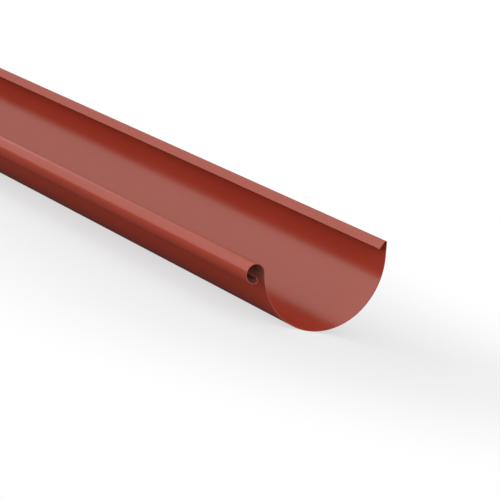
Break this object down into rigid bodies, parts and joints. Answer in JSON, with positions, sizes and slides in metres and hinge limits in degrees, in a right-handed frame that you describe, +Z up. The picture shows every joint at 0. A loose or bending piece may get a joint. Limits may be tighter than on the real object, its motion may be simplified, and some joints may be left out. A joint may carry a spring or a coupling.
{
  "type": "half round gutter section",
  "caption": "Half round roof gutter rolled from one painted steel sheet, with a round bead along its front edge and a folded rear edge, open at both ends.",
  "frame": {"origin": "middle of the space the resting gutter covers, at the floor", "axes": "+X along the gutter, +Y from the beaded front edge to the folded rear edge, +Z up from the floor it lies on"},
  "size_m": [3, 0.1688, 0.109],
  "materials": {
    "painted_sheet": "semi-gloss"
  },
  "bodies": {
    "root": {"gutter": "painted_sheet"}
  },
  "joints": []
}
